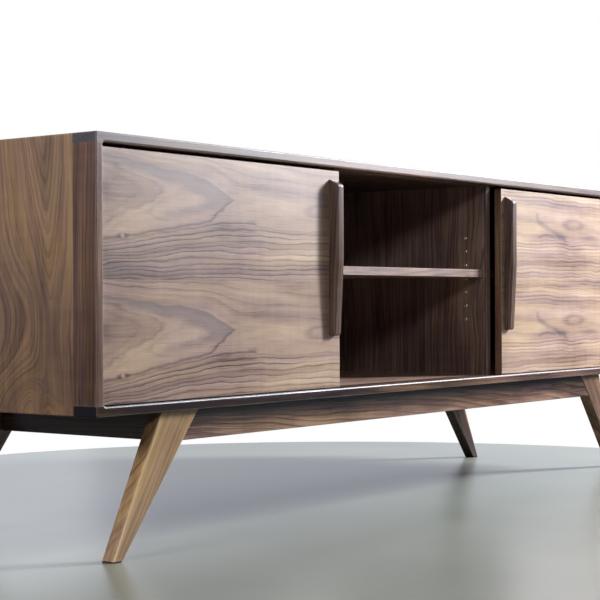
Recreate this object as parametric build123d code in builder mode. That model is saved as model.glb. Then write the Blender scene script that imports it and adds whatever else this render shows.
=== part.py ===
from build123d import *
from math import cos, radians, sin
import os

os.makedirs("parts", exist_ok=True)

# All sizes are in millimetres.
# The case: veneered panels mitred round the back, solid walnut strips round the front.
case_width = 2066.0
case_depth = 500.0
case_height = 480.0
panel_thickness = 18.0
strip_depth = 55.0
corner_roundover = 3.0
front_roundover = 2.5
opening_roundover = 4.5
opening_corner_radius = 5.0
back_thickness = 9.0
back_rabbet = 9.0
spline_width = 16.0
spline_thickness = 6.0
spline_offset = 9.0
spline_stop = 6.0
dowel_diameter = 8.0
dowel_length = 24.0
strip_dowel_spacing = 26.0
partition_dowel_spacing = 150.0
partition_dowel_count = 3

# Partitions and shelves.
centre_bay_width = 594.0
door_to_partition = 5.0
lipping_thickness = 5.0
edge_chamfer = 0.8
shelf_thickness = 18.0
shelf_front_setback = 8.0
shelf_back_gap = 3.0
shelf_end_gap = 1.0
pin_hole_pitch = 32.0
pin_hole_count = 7
pin_middle_height = 245.0
pin_front_setback = 56.0
pin_back_setback = 32.0
pin_diameter = 5.0
pin_reach = 8.0
sleeve_wall = 0.8
sleeve_depth = 8.0

# Sliding doors, one track for both.
door_width = 686.0
door_thickness = 18.0
door_setback = 5.0
door_side_gap = 1.0
door_top_gap = 6.0
door_bottom_gap = 1.0
groove_width = 6.4
track_depth = 5.0
guide_groove_depth = 11.0
glide_length = 50.0
glide_height = 10.0
glide_inset = 60.0
guide_length = 24.0
guide_engagement = 4.8

# Pulls, shaped from solid walnut.
handle_length = 314.5
handle_width = 22.0
handle_projection = 23.4
handle_foot_projection = 14.8
handle_taper_length = 150.0
handle_top_drop = 12.0
handle_ridge = 1.0
handle_corner_radius = 7.0
handle_knee_radius = 250.0
handle_arris = 3.5
arris_flat_count = 4
handle_height = 123.5
handle_edge_inset = 14.0

# Base: four splayed, tapered legs joined by aprons.
leg_height = 252.0
leg_thickness = 30.0
leg_top_inset = 178.0
leg_top_width = 100.5
leg_foot_inset = 54.0
leg_foot_width = 23.0
leg_setback = 15.0
leg_roundover = 3.0
glide_pad_thickness = 2.5
glide_pad_inset = 1.5
apron_height = 55.0
apron_thickness = 24.0
apron_setback = 2.0
apron_arris = 2.0
side_apron_inset = 206.0
tenon_thickness = 10.0
tenon_cheek = 3.0
tenon_shoulder = 8.0
tenon_length = 22.0
tenon_wall = 2.0
rail_height = 45.0
rail_stub = 8.0
cleat_size = 22.0
cleat_end_gap = 30.0

# Clearances, and the flats that small round stock is drawn with, to keep the part light.
glue_clearance = 0.1
running_clearance = 0.3
round_flat_count = 8

# Places that follow from the sizes. X is along the front, Y to the back, Z up from the floor.
half_width = case_width / 2
handle_overhang = handle_projection - door_setback
front = (handle_overhang - case_depth) / 2
back = front + case_depth
middle = (front + back) / 2
case_bottom = leg_height
case_top = case_bottom + case_height
mid_height = (case_bottom + case_top) / 2
inner_bottom = case_bottom + panel_thickness
inner_top = case_top - panel_thickness
opening_width = case_width - 2 * panel_thickness
opening_height = case_height - 2 * panel_thickness
panel_front = front + strip_depth
back_face = back - back_thickness
door_face = front + door_setback
door_back = door_face + door_thickness
door_middle = (door_face + door_back) / 2
door_outer = opening_width / 2 - door_side_gap
door_inner = door_outer - door_width
door_bottom = inner_bottom + door_bottom_gap
door_top = inner_top - door_top_gap
partition_front = door_back + door_to_partition
partition_inner = centre_bay_width / 2
partition_outer = partition_inner + panel_thickness
sleeve_radius = pin_diameter / 2 + sleeve_wall
shelf_bottom = case_bottom + pin_middle_height + pin_diameter / 2 + glue_clearance
pin_columns = (partition_front + pin_front_setback, back_face - pin_back_setback)
leg_front = front + leg_setback
leg_back = leg_front + leg_thickness
apron_front = leg_front + apron_setback
apron_back = apron_front + apron_thickness
apron_bottom = leg_height - apron_height
tenon_front = apron_front + tenon_cheek
tenon_back = tenon_front + tenon_thickness
mid_depth = Plane.XZ.offset(-middle)


def write(piece, name):
    """Label one finished piece and write its file."""
    piece.part.label = name
    export_step(piece.part, f"parts/{name}.step")


def write_twin(piece, plane, name):
    """Write the mirror image of a piece."""
    with BuildPart() as twin:
        mirror(piece.part, about=plane)
    write(twin, name)


def write_pair(piece, name):
    """Write a left-hand piece and its right-hand twin."""
    write(piece, f"left_{name}")
    write_twin(piece, Plane.YZ, f"right_{name}")


def block(x, y, z, mode=Mode.ADD):
    """A squared board or pocket between two limits on each axis."""
    with Locations(((x[0] + x[1]) / 2, (y[0] + y[1]) / 2, (z[0] + z[1]) / 2)):
        Box(x[1] - x[0], y[1] - y[0], z[1] - z[0], mode=mode)


def pegs(places, radius, low, high, mode=Mode.ADD):
    """Round stock, or its holes, along the Z of each place from one limit to another."""
    with BuildSketch(Plane.XY.offset(low)) as section:
        RegularPolygon(radius, round_flat_count)
    peg = extrude(section.sketch, amount=high - low, mode=Mode.PRIVATE)
    with Locations(*places):
        add(peg, mode=mode)


def dowels(points, extra=0, mode=Mode.ADD):
    """Upright dowels centred on the points, or their holes, grown by extra on every side."""
    reach = dowel_length / 2 + extra
    pegs(points, dowel_diameter / 2 + extra, -reach, reach, mode)


# Front frame, rounded over as one and then taken apart at its butt joints. The cutter that rounds the
# opening can't reach into its corners, so they stay rounded in front of the doors.
corner_depth = opening_roundover + glue_clearance

with BuildPart() as front_frame:
    with BuildSketch(Plane.XZ.offset(-front)):
        with Locations((0, mid_height)):
            Rectangle(case_width, case_height)
            Rectangle(opening_width, opening_height, mode=Mode.SUBTRACT)
    extrude(amount=-strip_depth)
    with BuildSketch(Plane.XZ.offset(-front)):
        with Locations((0, mid_height)):
            Rectangle(opening_width, opening_height)
            RectangleRounded(opening_width, opening_height, opening_corner_radius, mode=Mode.SUBTRACT)
    extrude(amount=-corner_depth)
    frame_edges = front_frame.edges().filter_by(Axis.Y).group_by(Axis.X)
    fillet(frame_edges[0] + frame_edges[-1], corner_roundover)
    fillet(front_frame.faces().sort_by(Axis.Y)[0].outer_wire().edges(), front_roundover)
    fillet(front_frame.faces().sort_by(Axis.Y)[0].inner_wires()[0].edges(), opening_roundover)

strip_dowel_points = [
    (side * (half_width - panel_thickness / 2), front + strip_depth / 2 + place, height)
    for side in (-1, 1)
    for place in (-strip_dowel_spacing / 2, strip_dowel_spacing / 2)
    for height in (inner_bottom, inner_top)
]

with BuildPart() as strip_dowels:
    dowels(strip_dowel_points)
write(strip_dowels, "strip_dowels")

with BuildPart() as top_front_strip:
    add(front_frame.part)
    split(bisect_by=Plane.XY.offset(inner_top), keep=Keep.TOP)
    dowels(strip_dowel_points, glue_clearance, Mode.SUBTRACT)
    with BuildSketch(Plane.XY.offset(inner_top)):
        with Locations((0, door_middle)):
            Rectangle(opening_width, groove_width)
    extrude(amount=guide_groove_depth, mode=Mode.SUBTRACT)
write(top_front_strip, "top_front_strip")

with BuildPart() as bottom_front_strip:
    add(front_frame.part)
    split(bisect_by=Plane.XY.offset(inner_bottom), keep=Keep.BOTTOM)
    dowels(strip_dowel_points, glue_clearance, Mode.SUBTRACT)
    with BuildSketch(Plane.XY.offset(inner_bottom)):
        with Locations((0, door_middle)):
            Rectangle(opening_width, groove_width)
    extrude(amount=-track_depth, mode=Mode.SUBTRACT)
write(bottom_front_strip, "bottom_front_strip")

with BuildPart() as left_end_strip:
    add(front_frame.part)
    split(bisect_by=Plane.XY.offset(inner_bottom), keep=Keep.TOP)
    split(bisect_by=Plane.XY.offset(inner_top), keep=Keep.BOTTOM)
    split(bisect_by=Plane.YZ, keep=Keep.BOTTOM)
    dowels(strip_dowel_points, glue_clearance, Mode.SUBTRACT)
write_pair(left_end_strip, "end_strip")

# Mitred panels behind the strips: one ring, slotted for its splines and cut at 45 degrees.
panel_depth = back - panel_front
spline_run = panel_depth - back_thickness - spline_stop
spline_places = [
    (
        across * (opening_width / 2 + spline_offset / 2**0.5),
        mid_height + up * (opening_height / 2 + spline_offset / 2**0.5),
        across * up,
    )
    for across in (-1, 1)
    for up in (-1, 1)
]


def spline_face(extra):
    """The four spline sections, square to the mitres, grown by extra on each side."""
    for x, z, turn in spline_places:
        with Locations((x, z)):
            Rectangle(spline_width + 2 * extra, spline_thickness + 2 * extra, rotation=-45 * turn)


with BuildPart() as case_ring:
    with BuildSketch(Plane.XZ.offset(-panel_front)):
        with Locations((0, mid_height)):
            Rectangle(case_width, case_height)
            Rectangle(opening_width, opening_height, mode=Mode.SUBTRACT)
    extrude(amount=-panel_depth)
    ring_edges = case_ring.edges().filter_by(Axis.Y).group_by(Axis.X)
    fillet(ring_edges[0] + ring_edges[-1], corner_roundover)
    with BuildSketch(Plane.XZ.offset(-back)):
        with Locations((0, mid_height)):
            Rectangle(opening_width + 2 * back_rabbet, opening_height + 2 * back_rabbet)
    extrude(amount=back_thickness, mode=Mode.SUBTRACT)
    with BuildSketch(Plane.XZ.offset(-panel_front)):
        spline_face(glue_clearance)
    extrude(amount=-spline_run - glue_clearance, mode=Mode.SUBTRACT)

with BuildPart() as mitre_splines:
    with BuildSketch(Plane.XZ.offset(-panel_front)):
        spline_face(0)
    extrude(amount=-spline_run)
write(mitre_splines, "mitre_splines")

partition_dowel_run = (partition_dowel_count - 1) * partition_dowel_spacing
partition_dowel_start = (partition_front + back_face - partition_dowel_run) / 2
partition_dowel_points = [
    (
        side * (partition_inner + panel_thickness / 2),
        partition_dowel_start + step * partition_dowel_spacing,
        height,
    )
    for side in (-1, 1)
    for step in range(partition_dowel_count)
    for height in (inner_bottom, inner_top)
]

with BuildPart() as partition_dowels:
    dowels(partition_dowel_points)
write(partition_dowels, "partition_dowels")

# The cuts stand outside the case by a panel's thickness, so that no face of theirs lies on a panel's face.
outside = panel_thickness
half_height = case_height / 2

with BuildPart() as top_panel:
    add(case_ring.part)
    with BuildSketch(Plane.XZ.offset(-panel_front)):
        Polygon(
            (-half_width - outside, case_top + outside),
            (half_width + outside, case_top + outside),
            (half_width - half_height, mid_height),
            (-half_width + half_height, mid_height),
            align=None,
        )
    extrude(amount=-panel_depth, mode=Mode.INTERSECT)
    dowels(partition_dowel_points, glue_clearance, Mode.SUBTRACT)
write(top_panel, "top_panel")

with BuildPart() as bottom_panel:
    add(case_ring.part)
    with BuildSketch(Plane.XZ.offset(-panel_front)):
        Polygon(
            (-half_width - outside, case_bottom - outside),
            (-half_width + half_height, mid_height),
            (half_width - half_height, mid_height),
            (half_width + outside, case_bottom - outside),
            align=None,
        )
    extrude(amount=-panel_depth, mode=Mode.INTERSECT)
    dowels(partition_dowel_points, glue_clearance, Mode.SUBTRACT)
write(bottom_panel, "bottom_panel")


def pin_rows(x):
    """Every pin hole of one wall of a bay, as points on that wall."""
    return [
        (x, y, case_bottom + pin_middle_height + (row - (pin_hole_count - 1) / 2) * pin_hole_pitch)
        for y in pin_columns
        for row in range(pin_hole_count)
    ]


def facing_planes(points, facing):
    """A plane at each point of a wall, looking out of it along X."""
    return [Plane(point, z_dir=(facing, 0, 0)) for point in points]


def drill_wall(x, facing, radius):
    """Drill a wall's pin holes, from the side that it faces."""
    depth = sleeve_depth + glue_clearance
    pegs(facing_planes(pin_rows(x), facing), radius + glue_clearance, -depth, 0, Mode.SUBTRACT)


with BuildPart() as left_end_panel:
    add(case_ring.part)
    with BuildSketch(Plane.XZ.offset(-panel_front)):
        Polygon(
            (-half_width - outside, case_top + outside),
            (-half_width - outside, case_bottom - outside),
            (-half_width + half_height, mid_height),
            align=None,
        )
    extrude(amount=-panel_depth, mode=Mode.INTERSECT)
    drill_wall(-opening_width / 2, 1, pin_diameter / 2)
write_pair(left_end_panel, "end_panel")

with BuildPart() as back_panel:
    with BuildSketch(Plane.XZ.offset(-back)):
        with Locations((0, mid_height)):
            Rectangle(
                opening_width + 2 * (back_rabbet - glue_clearance),
                opening_height + 2 * (back_rabbet - glue_clearance),
            )
    extrude(amount=back_thickness)
write(back_panel, "back_panel")

# Partitions, with a solid lipping on the front edge and pin holes from both sides.
with BuildPart() as left_partition:
    block(
        (-partition_outer, -partition_inner),
        (partition_front + lipping_thickness, back_face),
        (inner_bottom, inner_top),
    )
    dowels(partition_dowel_points, glue_clearance, Mode.SUBTRACT)
    drill_wall(-partition_inner, 1, sleeve_radius)
    drill_wall(-partition_outer, -1, pin_diameter / 2)
write_pair(left_partition, "partition")

with BuildPart() as left_partition_lipping:
    block(
        (-partition_outer, -partition_inner),
        (partition_front, partition_front + lipping_thickness),
        (inner_bottom, inner_top),
    )
    chamfer(left_partition_lipping.faces().sort_by(Axis.Y)[0].edges().filter_by(Axis.Z), edge_chamfer)
write_pair(left_partition_lipping, "partition_lipping")

# Metal sleeves in the pin holes of the centre bay.
with BuildPart() as pin_sleeves:
    for side in (-1, 1):
        wall = facing_planes(pin_rows(side * partition_inner), -side)
        pegs(wall, sleeve_radius, -sleeve_depth, 0)
        pegs(wall, pin_diameter / 2 + glue_clearance, -sleeve_depth, 0, Mode.SUBTRACT)
write(pin_sleeves, "pin_sleeves")

# One support pin in the middle hole of each column, in all three bays.
pin_height = case_bottom + pin_middle_height
pin_walls = [
    (-opening_width / 2, 1),
    (-partition_outer, -1),
    (-partition_inner, 1),
    (partition_inner, -1),
    (partition_outer, 1),
    (opening_width / 2, -1),
]

with BuildPart() as shelf_pins:
    for x, facing in pin_walls:
        middle_holes = [(x, y, pin_height) for y in pin_columns]
        pegs(facing_planes(middle_holes, facing), pin_diameter / 2, -sleeve_depth, pin_reach)
write(shelf_pins, "shelf_pins")

# Adjustable shelves, lipped like the partitions.
shelf_front = partition_front + shelf_front_setback


def shelf_boards(low, high):
    """The board and the front lipping of the shelf in the bay between two walls."""
    ends = (low + shelf_end_gap, high - shelf_end_gap)
    heights = (shelf_bottom, shelf_bottom + shelf_thickness)
    with BuildPart() as board:
        block(ends, (shelf_front + lipping_thickness, back_face - shelf_back_gap), heights)
    with BuildPart() as lipping:
        block(ends, (shelf_front, shelf_front + lipping_thickness), heights)
        chamfer(lipping.faces().sort_by(Axis.Y)[0].edges().filter_by(Axis.X), edge_chamfer)
    return board, lipping


centre_shelf, centre_shelf_lipping = shelf_boards(-partition_inner, partition_inner)
write(centre_shelf, "centre_shelf")
write(centre_shelf_lipping, "centre_shelf_lipping")
left_shelf, left_shelf_lipping = shelf_boards(-opening_width / 2, -partition_outer)
write_pair(left_shelf, "shelf")
write_pair(left_shelf_lipping, "shelf_lipping")

# Left-hand door: a veneered core in a solid lipping, on glides below and guide pegs above.
glide_thickness = groove_width - 2 * running_clearance
glide_bottom = inner_bottom - track_depth + running_clearance
glide_centres = (-door_outer + glide_inset, -door_inner - glide_inset)
guide_radius = groove_width / 2 - running_clearance
guide_top = inner_top + guide_engagement
guide_points = [(x, door_middle, guide_top) for x in glide_centres]
handle_left = -door_inner - handle_edge_inset - handle_width
handle_right = handle_left + handle_width
handle_bottom = case_bottom + handle_height
handle_top = handle_bottom + handle_length


def glide_blocks(extra, mode):
    """Both glides of the left door, or their pockets, grown by extra on every side but the lower."""
    for x in glide_centres:
        block(
            (x - glide_length / 2 - extra, x + glide_length / 2 + extra),
            (door_middle - glide_thickness / 2 - extra, door_middle + glide_thickness / 2 + extra),
            (glide_bottom, door_bottom + glide_height + extra),
            mode,
        )


with BuildPart() as left_door:
    block((-door_outer, -door_inner), (door_face, door_back), (door_bottom, door_top))
    chamfer(left_door.faces().sort_by(Axis.Y)[0].edges(), edge_chamfer)
    chamfer(left_door.faces().sort_by(Axis.Y)[-1].edges(), edge_chamfer)
    glide_blocks(glue_clearance, Mode.SUBTRACT)
    pegs(guide_points, guide_radius + glue_clearance, -guide_length - glue_clearance, 0, Mode.SUBTRACT)

core_left = -door_outer + lipping_thickness
core_right = -door_inner - lipping_thickness
core_bottom = door_bottom + lipping_thickness
core_top = door_top - lipping_thickness

depth_limits = (front, partition_front)
height_limits = (inner_bottom, inner_top)

with BuildPart() as left_door_panel:
    add(left_door.part)
    block((core_left, core_right), depth_limits, (core_bottom, core_top), Mode.INTERSECT)
write_pair(left_door_panel, "door_panel")

with BuildPart() as left_door_side_lippings:
    add(left_door.part)
    block((core_left, core_right), depth_limits, height_limits, Mode.SUBTRACT)
write_pair(left_door_side_lippings, "door_side_lippings")

with BuildPart() as left_door_level_lippings:
    add(left_door.part)
    block((core_left, core_right), depth_limits, height_limits, Mode.INTERSECT)
    block((core_left, core_right), depth_limits, (core_bottom, core_top), Mode.SUBTRACT)
write_pair(left_door_level_lippings, "door_level_lippings")

with BuildPart() as left_door_glides:
    glide_blocks(0, Mode.ADD)
    glide_soles = left_door_glides.faces().filter_by(Axis.Z).group_by(Axis.Z)[0]
    fillet(glide_soles.edges().filter_by(Axis.Y), glide_thickness / 4)
write_pair(left_door_glides, "door_glides")

with BuildPart() as left_door_guides:
    pegs(guide_points, guide_radius, -guide_length, 0)
    guide_tips = left_door_guides.faces().filter_by(Axis.Z).group_by(Axis.Z)[-1]
    chamfer(guide_tips.edges(), guide_radius / 4)
write_pair(left_door_guides, "door_guides")

# Pull: its front runs straight and then tapers towards the foot, its top slopes down to the front, and a
# low ridge runs down the middle of the front.
def pull_side(from_middle, inset):
    """The pull's outline at one place across its width, cut back from the ridge and inset for the arris."""
    cut_back = handle_ridge * abs(from_middle) / (handle_width / 2) + inset
    depth = handle_projection - cut_back
    with BuildSketch(Plane.YZ.offset(handle_middle + from_middle)) as side:
        Polygon(
            (door_face, handle_bottom + inset),
            (door_face, handle_top - inset),
            (door_face - depth, handle_top - inset - handle_top_drop * depth / handle_projection),
            (door_face - depth, handle_bottom + handle_taper_length),
            (door_face - handle_foot_projection + cut_back, handle_bottom + inset),
            align=None,
        )
        foot_corner, knee, top_corner = side.vertices().sort_by(Axis.X)[:3].sort_by(Axis.Y)
        fillet((foot_corner, top_corner), handle_corner_radius - inset)
        knee = side.vertices().group_by(Axis.X)[0].sort_by(Axis.Y)[0]
        fillet(knee, handle_knee_radius)
    return side.sketch


# The rounded arrises are lofted too, in a few flats each, from the side's face to the front.
handle_middle = (handle_left + handle_right) / 2
arris_turns = [radians(90 * step / arris_flat_count) for step in range(arris_flat_count + 1)]
arris_steps = [
    (handle_width / 2 - handle_arris * (1 - cos(turn)), handle_arris * (1 - sin(turn))) for turn in arris_turns
]
pull_sections = [pull_side(-from_middle, inset) for from_middle, inset in arris_steps]
pull_sections.append(pull_side(0, 0))
pull_sections += [pull_side(from_middle, inset) for from_middle, inset in reversed(arris_steps)]

with BuildPart() as left_handle:
    loft(pull_sections, ruled=True)
write_pair(left_handle, "handle")

# Base. The long aprons shoulder against the leaning inner edges of the legs and are tenoned into them.
tenon_top = leg_height - tenon_shoulder
tenon_bottom = apron_bottom + tenon_shoulder
side_tenon_front = tenon_back + tenon_wall
side_apron_outer = half_width - side_apron_inset
side_apron_inner = side_apron_outer - apron_thickness
side_tenon_middle = (side_apron_outer + side_apron_inner) / 2


def leg_outer(height):
    """Distance from the middle of the sideboard to a leg's outer edge, at a height above the floor."""
    lean = (leg_top_inset - leg_foot_inset) * height / leg_height
    return half_width - leg_foot_inset - lean


def leg_inner(height):
    """The same for the leg's inner edge, which leans further, so that the leg tapers to its foot."""
    top_edge = leg_top_inset + leg_top_width
    foot_edge = leg_foot_inset + leg_foot_width
    return half_width - foot_edge - (top_edge - foot_edge) * height / leg_height


def between_legs(low, high, past):
    """The face between the two front legs from one height to another, reaching past their inner edges."""
    Polygon(
        (-leg_inner(low) - past, low),
        (leg_inner(low) + past, low),
        (leg_inner(high) + past, high),
        (-leg_inner(high) - past, high),
        align=None,
    )


def long_tenon(extra, mode):
    """The tenons at both ends of the front apron, in one, grown by extra for the mortises."""
    with BuildSketch(Plane.XZ.offset(-tenon_front + extra)) as tenon_face:
        between_legs(tenon_bottom - extra, tenon_top + extra, tenon_length + extra)
    extrude(tenon_face.sketch, amount=-tenon_thickness - 2 * extra, mode=mode)


def side_tenon(extra, mode):
    """The tenons at both ends of the left apron, in one, grown by extra for the mortises."""
    block(
        (-side_tenon_middle - tenon_thickness / 2 - extra, -side_tenon_middle + tenon_thickness / 2 + extra),
        (side_tenon_front - extra, 2 * middle - side_tenon_front + extra),
        (tenon_bottom - extra, tenon_top + extra),
        mode,
    )


def rail_stubs(extra, mode):
    """The stub tenons of the centre rail, in one, grown by extra for their housings."""
    block(
        (-tenon_thickness / 2 - extra, tenon_thickness / 2 + extra),
        (apron_back - rail_stub - extra, 2 * middle - apron_back + rail_stub + extra),
        (leg_height - rail_height + tenon_shoulder - extra, leg_height - tenon_shoulder + extra),
        mode,
    )


with BuildPart() as front_apron:
    with BuildSketch(Plane.XZ.offset(-apron_front)):
        between_legs(apron_bottom, leg_height, 0)
    extrude(amount=-apron_thickness)
    fillet(front_apron.faces().sort_by(Axis.Z)[0].edges().filter_by(Axis.X), apron_arris)
    long_tenon(0, Mode.ADD)
    rail_stubs(glue_clearance, Mode.SUBTRACT)
write(front_apron, "front_apron")
write_twin(front_apron, mid_depth, "rear_apron")

with BuildPart() as left_apron:
    block(
        (-side_apron_outer, -side_apron_inner),
        (leg_back, 2 * middle - leg_back),
        (apron_bottom, leg_height),
    )
    fillet(left_apron.faces().sort_by(Axis.Z)[0].edges().filter_by(Axis.Y), apron_arris)
    side_tenon(0, Mode.ADD)
write_pair(left_apron, "apron")

with BuildPart() as centre_rail:
    block(
        (-apron_thickness / 2, apron_thickness / 2),
        (apron_back, 2 * middle - apron_back),
        (leg_height - rail_height, leg_height),
    )
    rail_stubs(0, Mode.ADD)
write(centre_rail, "centre_rail")

# Legs: flat boards that taper and lean outwards, rounded on their four long edges.
leg_bottom = glide_pad_thickness

with BuildPart() as front_left_leg:
    with BuildSketch(Plane.XZ.offset(-leg_front)):
        Polygon(
            (-leg_outer(leg_bottom), leg_bottom),
            (-leg_inner(leg_bottom), leg_bottom),
            (-leg_inner(leg_height), leg_height),
            (-leg_outer(leg_height), leg_height),
            align=None,
        )
    extrude(amount=-leg_thickness)
    level_faces = front_left_leg.faces().filter_by(Axis.Z)
    fillet(front_left_leg.edges() - level_faces.edges(), leg_roundover)
    long_tenon(glue_clearance, Mode.SUBTRACT)
    side_tenon(glue_clearance, Mode.SUBTRACT)
write(front_left_leg, "front_left_leg")
write_twin(front_left_leg, Plane.YZ, "front_right_leg")
write_twin(front_left_leg, mid_depth, "rear_left_leg")

with BuildPart() as rear_left_copy:
    mirror(front_left_leg.part, about=mid_depth)
write_twin(rear_left_copy, Plane.YZ, "rear_right_leg")

with BuildPart() as glide_pad:
    with BuildSketch(Plane.XY):
        with Locations((-(leg_outer(0) + leg_inner(0)) / 2, (leg_front + leg_back) / 2)):
            Rectangle(leg_foot_width - 2 * glide_pad_inset, leg_thickness - 2 * glide_pad_inset)
    extrude(amount=glide_pad_thickness)

with BuildPart() as foot_glides:
    add(glide_pad.part)
    mirror(about=Plane.YZ)
    mirror(about=mid_depth)
write(foot_glides, "foot_glides")

# Cleats along the long aprons, on which the case is screwed down from below.
with BuildPart() as mounting_cleats:
    block(
        (apron_thickness / 2, leg_inner(leg_height) - cleat_end_gap),
        (apron_back, apron_back + cleat_size),
        (leg_height - cleat_size, leg_height),
    )
    mirror(about=Plane.YZ)
    mirror(about=mid_depth)
write(mounting_cleats, "mounting_cleats")
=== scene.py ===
import math

import bmesh
import bpy
from mathutils import Matrix, Vector


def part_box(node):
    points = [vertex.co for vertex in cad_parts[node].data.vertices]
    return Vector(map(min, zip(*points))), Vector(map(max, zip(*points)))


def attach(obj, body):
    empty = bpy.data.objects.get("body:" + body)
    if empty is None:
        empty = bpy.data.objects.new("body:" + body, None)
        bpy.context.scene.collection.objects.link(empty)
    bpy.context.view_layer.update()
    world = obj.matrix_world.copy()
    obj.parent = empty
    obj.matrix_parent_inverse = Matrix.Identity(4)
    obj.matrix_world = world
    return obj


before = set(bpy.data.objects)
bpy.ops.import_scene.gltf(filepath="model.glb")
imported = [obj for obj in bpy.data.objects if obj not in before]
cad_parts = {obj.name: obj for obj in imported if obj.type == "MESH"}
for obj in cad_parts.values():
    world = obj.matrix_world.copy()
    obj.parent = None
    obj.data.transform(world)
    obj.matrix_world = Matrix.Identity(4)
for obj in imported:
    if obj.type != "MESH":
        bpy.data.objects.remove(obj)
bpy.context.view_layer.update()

# Case panels: top, bottom and ends are walnut veneer on a panel core, mitred and splined round the
# back of the case. The ends have an upright flame, the top and bottom run lengthwise, all oiled.


class Reading:
    """A number that changes over a surface. Sums of readings become the nodes of a finish."""

    def __init__(self, finish, socket):
        self.finish = finish
        self.socket = socket

    def __add__(self, other):
        return self.finish.sum("ADD", self, other)

    def __radd__(self, other):
        return self.finish.sum("ADD", other, self)

    def __sub__(self, other):
        return self.finish.sum("SUBTRACT", self, other)

    def __rsub__(self, other):
        return self.finish.sum("SUBTRACT", other, self)

    def __mul__(self, other):
        return self.finish.sum("MULTIPLY", self, other)

    def __truediv__(self, other):
        return self.finish.sum("DIVIDE", self, other)

    def __pow__(self, other):
        return self.finish.sum("POWER", self, other)

    def made(self, operation, *others):
        """The reading after one of Blender's other sums, such as FLOOR or ABSOLUTE."""
        return self.finish.sum(operation, self, *others)

    def between(self, low, high):
        """0 at one value and 1 at another, with a smooth rise from the first to the second."""
        node = self.finish.nodes.new("ShaderNodeMapRange")
        node.interpolation_type = "SMOOTHSTEP"
        self.finish.feed(node.inputs["Value"], self)
        node.inputs["From Min"].default_value = low
        node.inputs["From Max"].default_value = high
        return Reading(self.finish, node.outputs["Result"])

    def hump(self, middle, spread):
        """1 at one value, falling off to both sides of it."""
        away = (self - middle) * (1 / spread)
        return (away * away * -1).made("EXPONENT")


class Finish:
    """The nodes of one material. Places on the piece are read in millimetres."""

    def __init__(self, name, specular=0.5, metallic=0.0):
        self.material = bpy.data.materials.new(name)
        self.material.use_nodes = True
        self.nodes = self.material.node_tree.nodes
        self.shader = self.nodes["Principled BSDF"]
        self.shader.inputs["Specular IOR Level"].default_value = specular
        self.shader.inputs["Metallic"].default_value = metallic
        place = self.nodes.new("ShaderNodeTexCoord")
        self.x, self.y, self.z = [axis * 1000 for axis in self.parts(place.outputs["Object"])]
        self.facing = self.parts(place.outputs["Normal"])

    def feed(self, socket, value):
        """Set an input to a plain value, or link it to a reading."""
        if isinstance(value, Reading):
            self.material.node_tree.links.new(value.socket, socket)
        else:
            socket.default_value = value

    def parts(self, vector):
        """The three readings of a vector."""
        node = self.nodes.new("ShaderNodeSeparateXYZ")
        self.material.node_tree.links.new(vector, node.inputs[0])
        return [Reading(self, socket) for socket in node.outputs]

    def sum(self, operation, *values):
        """One of Blender's sums on readings and plain numbers."""
        node = self.nodes.new("ShaderNodeMath")
        node.operation = operation
        for socket, value in zip(node.inputs, values):
            self.feed(socket, value)
        return Reading(self, node.outputs[0])

    def noise(self, x, y, z, detail=2.0):
        """Smooth chance variation about zero, from places given in patches of the size wanted."""
        place = self.nodes.new("ShaderNodeCombineXYZ")
        for socket, value in zip(place.inputs, (x, y, z)):
            self.feed(socket, value)
        node = self.nodes.new("ShaderNodeTexNoise")
        node.inputs["Scale"].default_value = 1.0
        node.inputs["Detail"].default_value = detail
        self.material.node_tree.links.new(place.outputs[0], node.inputs["Vector"])
        return Reading(self, node.outputs["Fac"]) * 2 - 1

    def chance(self, number):
        """A chance value from 0 to 1 for each whole number."""
        node = self.nodes.new("ShaderNodeTexWhiteNoise")
        node.noise_dimensions = "1D"
        self.feed(node.inputs["W"], number)
        return Reading(self, node.outputs["Value"])

    def ramp(self, tone, stops):
        """A colour for each tone, from stops of a tone and a colour as it is seen, 0 to 255."""
        node = self.nodes.new("ShaderNodeValToRGB")
        points = node.color_ramp.elements
        while len(points) < len(stops):
            points.new(1.0)
        for point, (position, colour) in zip(points, stops):
            point.position = position
            point.color = seen(*colour)
        self.feed(node.inputs["Fac"], tone)
        return Reading(self, node.outputs["Color"])

    def blend(self, share, first, second):
        """One colour going over into another."""
        node = self.nodes.new("ShaderNodeMix")
        node.data_type = "RGBA"
        self.feed(node.inputs["Factor"], share)
        colour_inputs = [socket for socket in node.inputs if socket.type == "RGBA"]
        for socket, colour in zip(colour_inputs, (first, second)):
            self.feed(socket, colour)
        return Reading(self, next(socket for socket in node.outputs if socket.type == "RGBA"))

    def relief(self, height, depth, strength=0.6):
        """Bumps of a depth in millimetres."""
        node = self.nodes.new("ShaderNodeBump")
        node.inputs["Strength"].default_value = strength
        node.inputs["Distance"].default_value = depth / 1000
        self.feed(node.inputs["Height"], height)
        self.feed(self.shader.inputs["Normal"], Reading(self, node.outputs["Normal"]))

    def put_on(self, *nodes):
        """Give this finish to CAD nodes."""
        for node in nodes:
            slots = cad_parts[node].data.materials
            slots.clear()
            slots.append(self.material)


def seen(red, green, blue):
    """A colour as it is seen, 0 to 255, in the numbers that light adds up in."""
    shares = [value / 255 for value in (red, green, blue)]
    return [s / 12.92 if s < 0.04045 else ((s + 0.055) / 1.055) ** 2.4 for s in shares] + [1.0]


def millimetres(node):
    """The box of a CAD node in millimetres."""
    return [corner * 1000 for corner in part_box(node)]


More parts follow.
